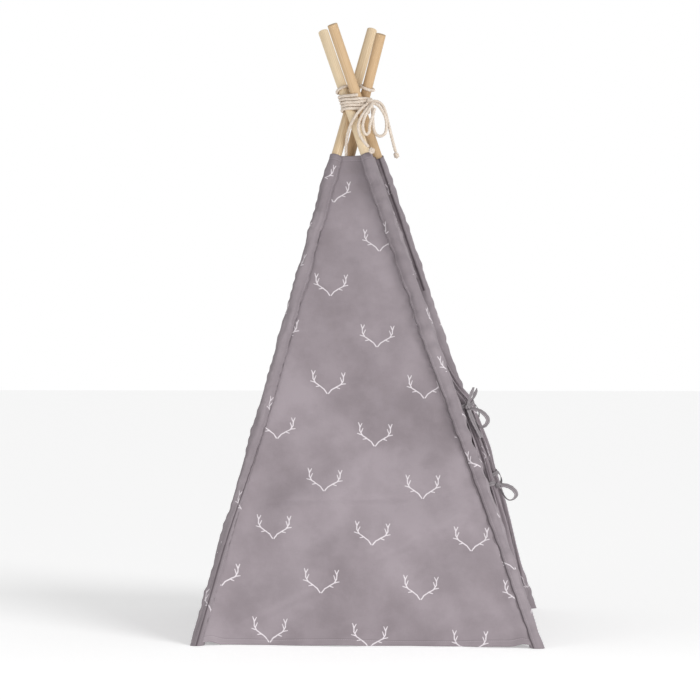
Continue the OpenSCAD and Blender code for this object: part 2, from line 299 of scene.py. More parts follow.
grain = mathNode(pineGroup, "MULTIPLY_ADD", late, 0.62,
                 mathNode(pineGroup, "MULTIPLY", ramp(pineGroup, fibre, 0.4, 0.75), 0.3))
grain = mathNode(pineGroup, "MULTIPLY_ADD", ramp(pineGroup, patch, 0.45, 0.75), 0.2, grain)
pineGroup.links.new(mixColor(pineGroup, grain, pale, warm), gout["Color"])
woodHeight = mathNode(pineGroup, "MULTIPLY_ADD", late, 0.00006,
                      mathNode(pineGroup, "MULTIPLY", fibre, 0.0001))
pineGroup.links.new(addNode(pineGroup, "ShaderNodeBump", None, Strength=0.5, Distance=1.0,
                    Height=woodHeight).outputs[0], gout["Normal"])
pineGroup.links.new(ramp(pineGroup, fibre, 0.3, 0.7, 0.5, 0.66), gout["Roughness"])

# Rope: fibres that run with the strands, in UV with x round the rope and y along it in metres
ropeGroup, gin, gout = newGroup("ropeLook", [("Vector", "Vector")],
    [("Color", "Color"), ("Normal", "Vector"), ("Roughness", "Float")])
fibre = noiseNode(ropeGroup, vecNode(ropeGroup, "MULTIPLY", gin["Vector"], (26, 90, 1)), 1.0, 4.0)
soil = noiseNode(ropeGroup, vecNode(ropeGroup, "MULTIPLY", gin["Vector"], (1.5, 30, 1)), 1.0, 3.0)
ropeColor = mixColor(ropeGroup, ramp(ropeGroup, fibre, 0.3, 0.7), (0.55, 0.46, 0.375, 1),
                     (0.86, 0.765, 0.67, 1))
ropeColor = mixColor(ropeGroup, ramp(ropeGroup, soil, 0.45, 0.75, 0.0, 0.35), ropeColor,
                     (0.52, 0.42, 0.32, 1))
ropeGroup.links.new(ropeColor, gout["Color"])
ropeGroup.links.new(addNode(ropeGroup, "ShaderNodeBump", None, Strength=0.6, Distance=1.0,
    Height=mathNode(ropeGroup, "MULTIPLY", fibre, 0.0004)).outputs[0], gout["Normal"])
ropeGroup.links.new(ramp(ropeGroup, fibre, 0.3, 0.7, 0.95, 0.82), gout["Roughness"])


# A material whose look comes from a group, fed with the given inputs
def makeMaterial(name, group, feeds, sheen=0.0, coat=0.0):
    mat = bpy.data.materials.new(name)
    mat.use_nodes = True
    tree = mat.node_tree
    tree.nodes.clear()
    look = addNode(tree, "ShaderNodeGroup", {"node_tree": group}, **feeds(tree))
    skin = addNode(tree, "ShaderNodeBsdfPrincipled", None, **{"Base Color": look.outputs["Color"],
                   "Roughness": look.outputs["Roughness"], "Normal": look.outputs["Normal"],
                   "Sheen Weight": sheen, "Sheen Roughness": 0.5, "Coat Weight": coat})
    skin.inputs["Specular IOR Level"].default_value = 0.3
    out = tree.nodes.new("ShaderNodeOutputMaterial")
    tree.links.new(skin.outputs[0], out.inputs[0])
    return mat


def uvSocket(tree, offset=(0, 0, 0)):
    source = addNode(tree, "ShaderNodeUVMap", {"uv_map": "cloth"}).outputs[0]
    return vecNode(tree, "ADD", source, offset)


def attribute(tree, name):
    return addNode(tree, "ShaderNodeAttribute", {"attribute_name": name}).outputs["Fac"]


def clothFeeds(base, dark, printed, wrinkle, offset=(0, 0, 0)):
    return lambda tree: {"Vector": uvSocket(tree, offset), "Edge": attribute(tree, "edgeDist"),
                         "Hem": attribute(tree, "hemDist"), "Base": (*base, 1),
                         "Dark": (*dark, 1), "Print": printed, "Wrinkle": wrinkle}


coverMat = makeMaterial("coverCloth", clothGroup, clothFeeds((0.325, 0.282, 0.305),
    (0.212, 0.180, 0.194), 1.0, 0.0008), 0.1)
pocketPrintAt = [(0.02, 0.168, 0), (0.03, 0.05, 0), (-0.02, 0.165, 0), (0.07, 0.0, 0)]
pocketMats = [makeMaterial("pocketCloth_" + name, clothGroup, clothFeeds((0.300, 0.262, 0.281),
    (0.215, 0.184, 0.200), 1.0, 0.0032, at), 0.1) for name, at in zip(poleNames, pocketPrintAt)]
ribbonMat = makeMaterial("ribbonCloth", clothGroup, clothFeeds((0.285, 0.262, 0.272),
    (0.190, 0.172, 0.181), 0.0, 0.001), 0.1)
ropeMat = makeMaterial("cottonRope", ropeGroup, lambda tree: {"Vector": uvSocket(tree)}, 0.1)
pineMats = []
# Each pole's tone: the darker, warmer tones of front_right and back_right are partly the wood's own
# colour and partly painted shade standing in for the shade on those poles
for i, tone in enumerate((0.95, 0.1, 0.6, 0.0)):
    a = Vector(axes[i])
    turn = a.to_track_quat("Z", "X").to_euler()

    def pineFeeds(tree, i=i, turn=turn, tone=tone):
        where = addNode(tree, "ShaderNodeTexCoord").outputs["Object"]
        placed = addNode(tree, "ShaderNodeMapping", {"vector_type": "TEXTURE"}, Vector=where,
                         Location=tuple(feet[i]), Rotation=tuple(turn)).outputs[0]
        return {"Vector": vecNode(tree, "ADD", placed, (0.0, 0.0, 3.1 * i)), "Tone": tone}

    pineMats.append(makeMaterial("pine_" + poleNames[i], pineGroup, pineFeeds, 0.0, 0.04))
print("stage: materials")


# An object from a finished mesh, with its material, its body and the CAD nodes it stands for
def placeMesh(mesh, material, body, nodes=()):
    obj = bpy.data.objects.new(mesh.name, mesh)
    bpy.context.scene.collection.objects.link(obj)
    mesh.materials.append(material)
    if body:
        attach(obj, body)
    if nodes:
        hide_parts(*nodes)
    return obj


# A bmesh grid laid over rows and columns of points, with UVs and values per point. A wrapped
# grid repeats its first column as its last; fill closes its open ends below a height
def gridMesh(name, pts, uv, values=None, wrap=False, fill=None, outward=None):
    rows, cols = pts.shape[:2]
    mesh = bpy.data.meshes.new(name)
    bm = bmesh.new()
    bmesh.ops.create_grid(bm, x_segments=cols - 1, y_segments=rows - 1, size=1)
    bm.to_mesh(mesh)
    mesh.vertices.foreach_set("co", np.asarray(pts, np.float32).ravel())
    corner = np.zeros(len(mesh.loops), np.int32)
    mesh.loops.foreach_get("vertex_index", corner)
    layer = mesh.uv_layers.new(name="cloth")
    layer.data.foreach_set("uv", uv.reshape(-1, 2)[corner].astype(np.float32).ravel())
    for key, v in (values or {}).items():
        mesh.attributes.new(key, "FLOAT", "POINT").data.foreach_set(
            "value", np.broadcast_to(v, (rows, cols)).astype(np.float32).ravel())
    bm.clear()
    bm.from_mesh(mesh)
    if wrap:
        bmesh.ops.remove_doubles(bm, verts=bm.verts, dist=1e-6)
    if fill is not None:
        ends = [e for e in bm.edges if e.is_boundary and max(v.co.z for v in e.verts) < fill]
        bmesh.ops.holes_fill(bm, edges=ends, sides=0)
    if outward is None:
        bmesh.ops.recalc_face_normals(bm, faces=bm.faces)
    else:
        bm.normal_update()
        if sum(f.normal @ Vector(outward(f.calc_center_median())) for f in bm.faces) < 0:
            bmesh.ops.reverse_faces(bm, faces=bm.faces)
    bm.to_mesh(mesh)
    bm.free()
    mesh.shade_smooth()
    return mesh


def thicken(obj, thickness):
    m = obj.modifiers.new("thickness", "SOLIDIFY")
    m.thickness = thickness
    m.offset = -1
    return obj


# Points along a smooth curve through the given ones
def smoothPath(points, step, closed=False):
    p = np.asarray(points, float)
    if closed:
        p = np.vstack([p[-1], p, p[0], p[1]])
    else:
        p = np.vstack([2 * p[0] - p[1], p, 2 * p[-1] - p[-2]])
    out = []
    for i in range(1, len(p) - 2):
        for t in np.linspace(0, 1, 24, endpoint=False):
            out.append(0.5 * (2 * p[i] + (p[i + 1] - p[i - 1]) * t
                       + (2 * p[i - 1] - 5 * p[i] + 4 * p[i + 1] - p[i + 2]) * t * t
                       + (3 * p[i] - p[i - 1] - 3 * p[i + 1] + p[i + 2]) * t ** 3))
    if not closed:
        out.append(p[-2])
    return resample(np.array(out), step)


def resample(p, step):
    s = np.concatenate([[0], np.cumsum(np.linalg.norm(np.diff(p, axis=0), axis=1))])
    n = max(3, int(round(s[-1] / step)) + 1)
    t = np.linspace(0, s[-1], n)
    return np.column_stack([np.interp(t, s, p[:, k]) for k in range(3)])


def pathLength(p):
    return float(np.linalg.norm(np.diff(p, axis=0), axis=1).sum())


# Directions across a path that turn as little as they can
def carried(p, start):
    t = np.gradient(p, axis=0)
    t /= np.linalg.norm(t, axis=1)[:, None]
    side = np.asarray(start, float)
    out = []
    for d in t:
        side = side - (side @ d) * d
        side = side / np.linalg.norm(side)
        out.append(side)
    out = np.array(out)
    return t, out, np.cross(t, out)


# Rope of three laid strands along a path; its ends are rounded off
def ropeMesh(name, path, diameter, body, nodes=(), sides=18, closed=False):
    t, a, b = carried(path, (0.3, 0.2, 0.93))
    s = np.concatenate([[0], np.cumsum(np.linalg.norm(np.diff(path, axis=0), axis=1))])
    pitch = 3.1 * diameter
    if closed:
        pitch = s[-1] / max(1, round(s[-1] / pitch * 3)) * 3
    theta = np.linspace(0, 2 * math.pi, sides + 1)
    twist = theta[None, :] - 2 * math.pi * s[:, None] / pitch
    r = diameter / 2 * (0.80 + 0.22 * np.abs(np.cos(1.5 * twist)) ** 0.8)
    spoke = np.cos(theta)[None, :, None] * a[:, None, :] + np.sin(theta)[None, :, None] * b[:, None, :]
    pts = path[:, None, :] + r[..., None] * spoke
    ends = [path[k] + t[k] * g * diameter * 0.12 + 0.55 * r[k][:, None] * spoke[k]
            for k, g in ((0, -1), (-1, 1))]
    pts = np.concatenate([ends[0][None], pts, ends[1][None]])
    s = np.concatenate([[0], s, [s[-1]]])
    uv = np.zeros((len(s), sides + 1, 2))
    uv[..., 0] = theta[None, :] / (2 * math.pi) - s[:, None] / pitch
    uv[..., 1] = s[:, None]
    mesh = gridMesh(name, pts, uv, wrap=True, fill=9)
    return placeMesh(mesh, ropeMat, body, nodes)


# Flat strip along a path, its width turning from one angle to the other
def stripMesh(name, path, width, thick, normal, angles, body, nodes=(), flare=0.0):
    t, a, b = carried(path, normal)
    n = len(path)
    s = np.concatenate([[0], np.cumsum(np.linalg.norm(np.diff(path, axis=0), axis=1))])
    ang = np.radians(np.interp(s / s[-1], np.linspace(0, 1, len(angles)), angles))[:, None]
    wide = a * np.cos(ang) + b * np.sin(ang)
    up = np.cross(t, wide)
    ring = [(-0.5, -0.25), (-0.42, -0.5), (0, -0.42), (0.42, -0.5), (0.5, -0.25),
            (0.5, 0.25), (0.42, 0.5), (0, 0.42), (-0.42, 0.5), (-0.5, 0.25), (-0.5, -0.25)]
    ruffle = 1 + 0.06 * np.sin(s * 2 * math.pi / 0.011) + flare * (s / s[-1]) ** 2
    pts = np.array([[path[i] + wide[i] * width * x * ruffle[i]
                     + up[i] * thick * y for x, y in ring] for i in range(n)])
    around = np.linalg.norm(np.diff(np.array(ring) * (width, thick), axis=0), axis=1)
    uv = np.zeros((n, len(ring), 2))
    uv[..., 0] = np.concatenate([[0], np.cumsum(around)])[None, :]
    uv[..., 1] = s[:, None]
    hem = np.array([width * (0.5 - abs(x)) + 0.0105 for x, y in ring])[None, :]
    mesh = gridMesh(name, pts, uv, {"edgeDist": 1.0, "hemDist": hem}, wrap=True, fill=9)
    return placeMesh(mesh, ribbonMat, body, nodes)


print("stage: helpers")

# Rope ends and bow loops, in millimetres
ropeCords = {
    "ropeTailCover": dict(node="rope_tail_cover", far="object", pts=[[-38, 16, 1282],
        [-47, 30, 1270], [-50, 44, 1252], [-47, 56, 1232], [-41, 64, 1210], [-33.5, 68, 1190],
        [-28, 69.2, 1172], [-26, 68.7, 1152.5]]),
    "ropeTailNear": dict(node="rope_tail_near", far="knot", pts=[[-40, 7, 1280], [-52, 18, 1266],
        [-60, 30, 1248], [-64, 37, 1227], [-66, 34, 1206], [-68, 24, 1188], [-71, 12, 1174]]),
    "ropeTailFar": dict(node="rope_tail_far", far="knot", pts=[[-28, 2, 1290], [-24, -10, 1288],
        [-21, -21, 1278], [-20, -28, 1260], [-20, -33, 1240], [-20, -38, 1220], [-20, -43, 1200],
        [-20, -48, 1180], [-20, -52, 1166]]),
    "ropeLoopNear": dict(node="rope_loop_near", far="object", pts=[[-42, 3, 1284], [-52, 9, 1270],
        [-60, 20, 1251], [-64, 26, 1230], [-64, 24, 1213], [-62, 18, 1205], [-60, 11, 1211],
        [-57, 9, 1230], [-52, 3, 1250], [-43, -2, 1270]]),
    "ropeLoopFar": dict(node="rope_loop_far", far="object", pts=[[-33, 5, 1278], [-31, 4, 1258],
        [-29, 3, 1238], [-27, 1, 1220], [-26, -6, 1207], [-26, -17, 1204], [-27, -27, 1212],
        [-28, -30, 1232], [-29, -26, 1254], [-31, -13, 1275], [-32, 1, 1285]]),
}


# A lumpy overhand knot of rope about a point
def ropeKnot(name, at, size, diameter, spin, body, nodes):
    u = np.linspace(0, 2 * math.pi, 110, endpoint=False)
    p = np.column_stack([(2 + np.cos(5 * u)) * np.cos(2 * u), (2 + np.cos(5 * u)) * np.sin(2 * u),
                         1.5 * np.sin(5 * u)]) * size / 3
    turn = np.array(Matrix.Rotation(math.radians(spin[0]), 3, "X")
                    @ Matrix.Rotation(math.radians(spin[1]), 3, "Y"))
    p = p @ turn.T + np.asarray(at)
    return ropeMesh(name, smoothPath(p, 0.0012, True), diameter, body, nodes, 14, True)


knotNear = ropeKnot("tailKnotNear", (-0.073, 0.004, 1.164), 0.0052, 0.0062, (20, 70), "lashing",
                    ["tail_knot_near"])
knotFar = ropeKnot("tailKnotFar", (-0.020, -0.054, 1.157), 0.0052, 0.0062, (65, 30), "lashing",
                   ["tail_knot_far"])
for name, c in ropeCords.items():
    path = smoothPath(np.array(c["pts"]) / 1000, 0.0015)
    obj = ropeMesh(name, path, looseD, "lashing", [c["node"]])
    c["length"] = pathLength(path)
    print("cord", name, round(c["length"], 4))

# Knots of the ribbons, and points measured from them in millimetres on the left side
tieKnots = np.array([[-222, -230, 543], [212, -237, 543], [-266, -302, 363], [269, -297, 363]]) / 1000
upperLoop = [[-1, -7, -2], [-3, -22, -4], [-5, -38, -13], [-6, -48, -28], [-5, -41, -42],
             [-3, -28, -44], [-3, -19, -32], [0, -5, -9]]
lowerLoop = [[-1, -7, 1], [-3, -21, -1], [-5, -34, -8], [-6, -42, -20], [-5, -36, -31],
             [-3, -25, -34], [-2, -15, -26], [0, -5, -9]]
leftTail = [[-9, -3, -5], [-12, -10, -24], [-14, -18, -42], [-16, -26, -58], [-18, -33, -70]]
rightTail = [[-4, -9, -5], [4, -12, -24], [13, -18, -42], [20, -24, -58], [25, -29, -70]]


# Loop points mirrored for the right side and swung outwards
def swung(points):
    return [[-x - y, 0.4 * y, z] for x, y, z in points]


def ribbonPath(knot, points):
    return smoothPath(knot + np.array(points, float) / 1000, 0.0018)


for k, knot in enumerate(tieKnots):
    side = "left" if k % 2 == 0 else "right"
    level = "upper" if k < 2 else "lower"
    across = (1, 0, 0) if side == "left" else (0.37, 0.93, 0)
    body = "door_" + side
    tag = level.capitalize() + side.capitalize()
    points = upperLoop if k < 2 else lowerLoop
    loop = ribbonPath(knot, points if side == "left" else swung(points))
    obj = stripMesh("ribbonLoop" + tag, loop, ribbonW, 0.0014, across,
                    [35, 50, 62, 40, 20, 55] if k < 2 else [60, 66, 58, 15, 25, 50], body,
                    ["ribbon_loop_%s_%s" % (level, side)])
    print("cord", obj.name, round(pathLength(loop), 4))
    if k < 2:
        tail = ribbonPath(knot, leftTail if side == "left" else rightTail)
        obj = stripMesh("ribbonTail" + tag, tail, ribbonW, 0.0014, across, [60, 70, 40, 62], body,
                        ["ribbon_tail_%s_%s" % (level, side)])
        print("cord", obj.name, round(pathLength(tail), 4))
print("stage: cords")

poleLook = dict(sides=56, bevel=0.0016, segments=3)
for i, name in enumerate(poleNames):
    lean = axes[i][2]
    low = (0.0015 + poleR * math.sqrt(1 - lean * lean)) / lean
    length = poleLens[i] - low
    bm = bmesh.new()
    bmesh.ops.create_cone(bm, cap_ends=True, segments=poleLook["sides"], radius1=poleR, radius2=poleR,
                          depth=length)
    rims = [e for e in bm.edges if abs(e.verts[0].co.z - e.verts[1].co.z) < 1e-6]
    bmesh.ops.bevel(bm, geom=rims, offset=poleLook["bevel"], segments=poleLook["segments"],
                    affect="EDGES", profile=0.5, material=-1)
    turn = Vector(axes[i]).to_track_quat("Z", "X").to_matrix().to_4x4()
    at = Matrix.Translation(feet[i] + axes[i] * (low + length / 2))
    bmesh.ops.transform(bm, matrix=at @ turn, verts=bm.verts)
    for f in bm.faces:
        f.smooth = len(f.verts) == 4
    mesh = bpy.data.meshes.new("pole_" + name + "_dowel")
    bm.to_mesh(mesh)
    bm.free()
    placeMesh(mesh, pineMats[i], name + "_leg", ["pole_" + name])
print("stage: poles")

neighbours = {0: (2, 1), 1: (3, 0), 2: (0, 3), 3: (1, 2)}
pocketLook = dict(cols=72, rows=340, lip=0.0026, lipWidth=0.17, pucker=0.0004, crumple=0.0016,
                  wrinkle=0.0018, shrink=0.0009, foot=0.0018, slim=0.0028, floorZ=0.0004,
                  overTop=0.0042, overPole=0.0012)


# How far round from the wall's plane a pocket's seam lies, at heights up its pole
def seamTurn(i, other, z):
    if (i, other) == (2, 0):
        return 0.24 + 1.34 * smoothStep(0.60, 0.19, z)
    if (i, other) == (0, 2):
        return 0.40 + 0.65 * smoothStep(0.85, 0.20, z)
    return 0.24 + 0.3 * smoothStep(0.85, 0.20, z)


for i, name in enumerate(poleNames):
    look = pocketLook
    top = coverTop / axes[i][2]
    e1 = unit(flatDirs[i] - (flatDirs[i] @ axes[i]) * axes[i])
    e2 = np.cross(axes[i], e1)
    phi = np.linspace(0, 2 * math.pi, look["cols"] + 1)
    radial = np.cos(phi)[:, None] * e1 + np.sin(phi)[:, None] * e2
    sMin = ((look["floorZ"] - sleeveR * radial[:, 2]) / axes[i][2])[None, :]
    t = np.linspace(0, 1, look["rows"])[:, None]
    s = sMin * (1 - t) + top * t
    z = s * axes[i][2]
    r = np.minimum(sleeveR - look["shrink"], sleeveTopR + (sleeveR - sleeveTopR)
                   * (top - s) / sleeveTaper)
    r = r - look["foot"] * smoothStep(0.34, 0.0, s)
    if i == 2:
        r = r - look["slim"] * smoothStep(0.16, 0.30, z) * smoothStep(1.12, 0.95, z)
    at4 = np.stack([np.cos(phi)[None, :] * 0.02 + 0 * s, np.sin(phi)[None, :] * 0.02 + 0 * s, s,
                   0 * s + i], -1)
    slack = smoothStep(0.0, 0.05, top - s) * smoothStep(0.0, 0.04, s - sMin)
    dr = (look["crumple"] * ripple(at4 * [1, 1, 0.35, 0], 11 + i, 0.026, 8)
          + look["wrinkle"] * ripple(at4 * [0.5, 0.5, 1, 0], 31 + i, 0.024, 9)) * slack
    edge = np.full(s.shape, 1.0)
    for other in neighbours[i]:
        to = unit(feet[other] - feet[i])
        to = unit(to - (to @ axes[i]) * axes[i])
        base = math.atan2(to @ e2, to @ e1)
        away = 1 if math.sin(base) < 0 else -1
        past = (phi[None, :] - base) * away - seamTurn(i, other, z)
        past = (past + math.pi) % (2 * math.pi) - math.pi
        sewn = smoothStep(0.80, 0.86, z) if {i, other} == {0, 1} else np.ones_like(s)
        jitter = ripple(np.stack([s, 0 * s + other], -1) * [1, 0.1], 50 + i * 4 + other, 0.05, 5)
        wave = np.sin(2 * math.pi * s / stitchWave + 2.0 * jitter)
        lip = look["lip"] * (1 - 0.5 * smoothStep(0.75, 0.35, z) * ({i, other} == {0, 2}))
        dr += (lip * np.exp(-((past - 0.13) / look["lipWidth"]) ** 2)
               + look["pucker"] * np.exp(-(past / 0.7) ** 2) * wave * slack) * sewn
        # Distance round from the seam, which places the seam stitches and the painted seam shade
        line = np.abs(past + 0.03) * sleeveR + np.where(past > 0, 0.0018, 0)
        edge = np.minimum(edge, np.where(sewn > 0.5, line, 1.0))
    reach = r - 0.0003 + dr + smoothStep(0.012, 0.0, top - s) * 0.0004
    reach = np.where(top - s < 0.02, np.minimum(reach, r + look["overTop"]), reach)
    reach = np.maximum(reach, poleR + look["overPole"])
    pts = feet[i] + s[..., None] * axes[i] + reach[..., None] * radial[None]
    pts[0, :, 2] = look["floorZ"]
    pts[1:, :, 2] = np.maximum(pts[1:, :, 2], look["floorZ"] + 0.0002)
    uv = np.stack([phi[None, :] * sleeveR + 0 * s, s], -1)
    mesh = gridMesh("pocket_" + name + "_sleeve", pts, uv, {"edgeDist": edge, "hemDist": top - s},
                    wrap=True, fill=0.002,
                    outward=lambda at, i=i: np.array(at) - poleAt(i, np.array(at.z)))
    obj = thicken(placeMesh(mesh, pocketMats[i], name + "_leg", ["pocket_" + name]), clothThick)
print("stage: pockets")

wallLook = dict(inset=0.004, sag=0.009, fold=0.0095, soft=0.0045, crease=0.0034, pucker=0.0005,
                hemBand=0.015, hemThick=0.0006, rise=0.005, lapLift=0.011, lapTuck=0.005,
                lapClear=0.03, floorGap=0.0014)
wallCreases = ((0.05, 0.30, 0.8), (-0.10, 0.72, 0.6), (0.5, 0.16, 0.9))  # tilt, height share, depth
diagonal = np.array([[0.8, 0.6], [-0.6, 0.8]])


# A wall of cloth from pole i's pocket to pole j's, between two heights. A lapped wall's side
# edges tuck under the pockets and lift off the poles towards the floor
def clothWall(name, i, j, z0, z1, rows, cols, body, node, seed, outward, uvFrom, lapped=0.0):
    look = wallLook
    k = np.linspace(0, 1, cols)
    u = 0.45 * k + 0.55 * (1 - np.cos(math.pi * k)) / 2
    v = np.linspace(0, 1, rows)
    z = z0 + (z1 - z0) * v
    a, b = poleAt(i, z), poleAt(j, z)
    gap = b - a
    to = gap / np.linalg.norm(gap, axis=1)[:, None]

    def inset(q, at):
        under = look["lapTuck"] * lapped * smoothStep(0.62, 0.25, at)
        reach = sleeveRadius(q, at / axes[q][2]) - look["inset"] - under
        return (reach / np.linalg.norm(np.cross(axes[q], to), axis=1))[:, None] * to

    a, b = a + inset(i, z), b - inset(j, z)
    width = np.linalg.norm(b - a, axis=1)
    pts = a[:, None, :] + (b - a)[:, None, :] * u[None, :, None]
    across = u[None, :] * width[:, None]
    edge = np.minimum(across, width[:, None] - across)
    face = unit(np.cross(b[0] - a[0], (a[-1] + b[-1]) - (a[0] + b[0])))
    if face @ np.asarray(outward, float) < 0:
        face = -face
    slope = 1 / math.sqrt(max(1e-6, 1 - face[2] ** 2))
    down = (z[:, None] - z0) * slope + 0 * across
    up = (z1 - z)[:, None] * slope + 0 * across
    centred = across - width[:, None] / 2
    grid = np.stack([centred, down], -1)
    free = 1 - np.exp(-edge / 0.05)
    big = ripple(grid * [1.0, 0.45], seed, 0.30, 6)
    big = big + 0.5 * ripple(grid * [0.6, 1.0], seed + 1, 0.16, 6)
    d = look["fold"] * big * free * np.minimum(1, width[:, None] / 0.4)
    d -= look["sag"] * 4 * (across / width[:, None]) * (1 - across / width[:, None]) \
        * np.minimum(1, width[:, None] / 0.5)
    d += look["soft"] * ripple(grid * [0.8, 0.6] @ diagonal, seed + 9, 0.10, 9) * free
    d += look["lapLift"] * lapped * np.exp(-(edge / 0.026) ** 2) * smoothStep(0.62, 0.25, down)
    tight = ripple(grid * [0.5, 1.0], seed + 2, 0.05, 7)
    d += look["crease"] * 0.45 * tight * np.exp(-down / 0.14) * free
    for tilt, at, depth in wallCreases:
        line = np.abs(down - (z1 - z0) * at - centred * tilt)
        d -= look["crease"] * depth * np.exp(-(line / 0.007) ** 2) * free * \
            (0.5 + 0.5 * ripple(grid, seed + 5, 0.2, 4))
    jitter = ripple(np.stack([down, 0 * down + seed], -1) * [1, 0.1], seed + 3, 0.06, 5)
    wave = np.sin(2 * math.pi * down / stitchWave + 1.6 * jitter)
    d += look["pucker"] * wave * np.exp(-edge / 0.013) * (0.6 + 0.4 * jitter)
    d += look["hemThick"] * smoothStep(look["hemBand"] + 0.001, look["hemBand"] - 0.001, down)
    d += look["hemThick"] * smoothStep(look["hemBand"] + 0.001, look["hemBand"] - 0.001, up)
    lowEdge = smoothStep(0.07, 0.0, down)
    d += 0.004 * lowEdge * ripple(grid * [1, 0.2], seed + 4, 0.13, 5) * free
    pts = pts + face * d[..., None]
    lift = look["rise"] * np.exp(-((edge - 0.020) / 0.016) ** 2) * smoothStep(0.10, 0.0, down)
    dip = 0.0022 * ripple(np.stack([centred, 0 * centred], -1), seed + 8, 0.25, 4)
    pts[..., 2] += (lift + dip * free * 0.5 * smoothStep(0.05, 0.0, down)) * (z0 < 0.1)
    pts[..., 2] = np.maximum(pts[..., 2], look["floorGap"])
    uv = np.stack([centred + uvFrom[0], down + uvFrom[1]], -1)
    # edgeDist places the seam stitches and the painted seam shade; lapClear moves the painted shade
    # off a lapped wall's side edges
    mesh = gridMesh(name, pts, uv, {"edgeDist": edge - look["inset"] + look["lapClear"] * lapped,
                    "hemDist": np.minimum(down, up)}, outward=lambda at: face)
    obj = thicken(placeMesh(mesh, coverMat, body, [node]), clothThick)
    return obj


wallLeft = clothWall("wallLeft", 2, 0, hemH, coverTop, 330, 84, "wall_left", "panel_left", 7,
                     (-1, 0, 0), (-0.0339, -0.4775), lapped=1.0)
wallRight = clothWall("wallRight", 1, 3, hemH, coverTop, 300, 84, "wall_right", "panel_right", 23,
                      (1, 0, 0), (0.05, 0.03))
wallBack = clothWall("wallBack", 3, 2, hemH, coverTop, 300, 84, "wall_back", "panel_back", 41,
                     (0, 1, 0), (0.02, -0.08))
wallFront = clothWall("wallFront", 0, 1, doorTop, coverTop, 84, 60, "wall_front", "panel_front_top",
                      59, (0, -1, 0), (0.0, 0.12))
print("stage: walls")

# Height, radius and turn of a flap, in millimetres and degrees
flapRows = np.array([[26, 19, -20], [60, 23, -15], [180, 20, 0], [235, 17, 12], [290, 13.5, 30],
    [351, 12, 40], [375, 12, 40], [420, 15.5, 40], [470, 14.5, 40], [531, 12, 40], [555, 12, 40],
    [585, 10.5, 15], [640, 10, -5], [700, 10, -15], [780, 9, -20], [845, 6, -20]], float)
flapLook = dict(cols=160, rows=230, flutes=10, depth=0.62, seam=0.0024, wrap=0.93, low=0.024,
                high=0.857, soften=12, pinch=0.016, slant=1.08, cutWidth=0.37, cutArea=0.2)


def flapDir(i, turn):
    s = 1 if i == 0 else -1
    v = np.array([s * math.cos(math.radians(turn)), -math.sin(math.radians(turn)), 0])
    return unit(v - (v @ axes[i]) * axes[i])


def flapMid(i, z, r, turn):
    return poleAt(i, z) + flapDir(i, turn) * (sleeveR + r + flapLook["seam"])


for i, side in ((0, "left"), (1, "right")):
    look = flapLook
    zs = np.linspace(look["low"], look["high"], look["rows"])
    rr = np.interp(zs, flapRows[:, 0] / 1000, flapRows[:, 1] / 1000)
    turns = np.interp(zs, flapRows[:, 0] / 1000, flapRows[:, 2])
    soften = np.exp(-(np.arange(-look["soften"], look["soften"] + 1) / 5.0) ** 2)
    soften /= soften.sum()
    smoothed = np.convolve(np.pad(rr, look["soften"], "edge"), soften, "valid")
    smoothed = smoothed * (1 + 0.07 * smoothStep(0.14, 0.07, zs)
                           - 0.32 * smoothStep(0.05, 0.022, zs))
    pinch = np.maximum(*[np.exp(-((zs - h) / look["pinch"]) ** 2) for h in tieHeights])
    rr = smoothed * (1 - pinch) + pinchR * pinch
    turns = np.convolve(np.pad(turns, look["soften"], "edge"), soften, "valid")
    c = np.linspace(0, 1, look["cols"])
    pts = np.zeros((len(zs), len(c), 3))
    mirror = 1 if i == 0 else -1
    for k, z in enumerate(zs):
        mid = flapMid(i, z, rr[k], turns[k])
        e1 = flapDir(i, turns[k])
        e2 = np.cross(axes[i], e1) * mirror
        theta = 2 * math.pi * (1 + look["wrap"] * (c - 0.5))
        drift = 0.5 * math.sin(z * 9 + i) + 0.3 * math.sin(z * 23 + 2 * i)
        sway = theta + 0.35 * np.sin(theta * 2 + z * 7)
        flute = 0.5 + 0.5 * np.cos(look["flutes"] * sway + 2 * drift)
        uneven = 1 + 0.10 * np.sin(theta * 2 + z * 14 + i) + 0.06 * np.sin(theta * 5 - z * 31)
        depth = look["depth"] * (1 - 0.25 * pinch[k])
        rad = rr[k] * np.minimum(1.04, uneven) * (1 - depth * (1 - flute) ** 0.8)
        ring = mid + rad[:, None] * (np.cos(theta)[:, None] * e1 + np.sin(theta)[:, None] * e2)
        ring = ring + axes[i] * (0.0015 * np.sin(theta * 3 + i))[:, None] * (z < 0.1)
        pts[k] = ring
    uv = np.stack([c[None, :] * 0.30 + 0.06 * i + 0 * zs[:, None],
                   zs[:, None] * look["slant"] + 0.05 + 0 * c[None, :]], -1)
    flapEdge = np.minimum(c, 1 - c)[None, :] * 0.3 + 0.02 + 0 * zs[:, None]
    hem = np.minimum((zs - look["low"]) * look["slant"], 0.1)[:, None]

    def fromMiddle(at, i=i, rr=rr, turns=turns):
        k = int(round((at.z - zs[0]) / (zs[1] - zs[0])))
        k = min(max(k, 0), len(zs) - 1)
        return np.array(at) - flapMid(i, at.z, rr[k], turns[k])

    mesh = gridMesh("doorFlap" + side.capitalize(), pts, uv, {"edgeDist": flapEdge, "hemDist": hem},
                    outward=fromMiddle)
    obj = thicken(placeMesh(mesh, coverMat, "door_" + side, ["flap_" + side]), clothThick)
    g = pts[:-1, :-1]
    shown = float(np.linalg.norm(np.cross(pts[1:, :-1] - g, pts[:-1, 1:] - g), axis=-1).sum())
    print("sheet", obj.name, "surface", round(shown, 3))

